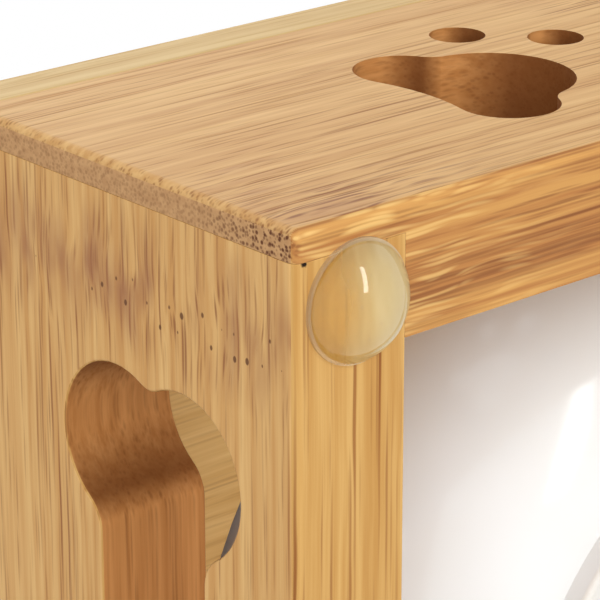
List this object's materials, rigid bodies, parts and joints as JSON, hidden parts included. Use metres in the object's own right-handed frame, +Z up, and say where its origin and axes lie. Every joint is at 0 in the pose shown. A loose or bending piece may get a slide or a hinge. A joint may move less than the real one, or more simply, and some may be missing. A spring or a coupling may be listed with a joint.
{
  "type": "elevated double pet bowl",
  "caption": "Low bamboo stand with paw cut-outs, bone-shaped hand-holds and clear stick-on feet, holding a pair of round glazed bowls that lift out.",
  "frame": {"origin": "on the floor under the middle of the stand", "axes": "+X along the stand's length from left to right, +Y from the front to the back, +Z up"},
  "size_m": [0.382, 0.184, 0.0736],
  "materials": {
    "bamboo": "sanded bamboo under a thin matt varnish",
    "glaze": "white glazed ceramic",
    "clear_foot": "clear soft polyurethane",
    "foot_adhesive": "translucent adhesive film"
  },
  "bodies": {
    "stand": {"front_panel": "bamboo", "back_panel": "bamboo", "left_side_panel": "bamboo", "right_side_panel": "bamboo", "top_board": "bamboo", "front_left_foot": "clear_foot", "front_right_foot": "clear_foot", "back_left_foot": "clear_foot", "back_right_foot": "clear_foot", "front_left_foot_adhesive": "foot_adhesive", "front_right_foot_adhesive": "foot_adhesive", "back_left_foot_adhesive": "foot_adhesive", "back_right_foot_adhesive": "foot_adhesive"},
    "left_bowl": {"left_bowl": "glaze"},
    "right_bowl": {"right_bowl": "glaze"}
  },
  "joints": [
    {"name": "left_bowl_lift", "type": "slide", "parent": "stand", "child": "left_bowl", "axis": [0, 0, 1], "range_m": [0, 0.06]},
    {"name": "right_bowl_lift", "type": "slide", "parent": "stand", "child": "right_bowl", "axis": [0, 0, 1], "range_m": [0, 0.06]}
  ]
}
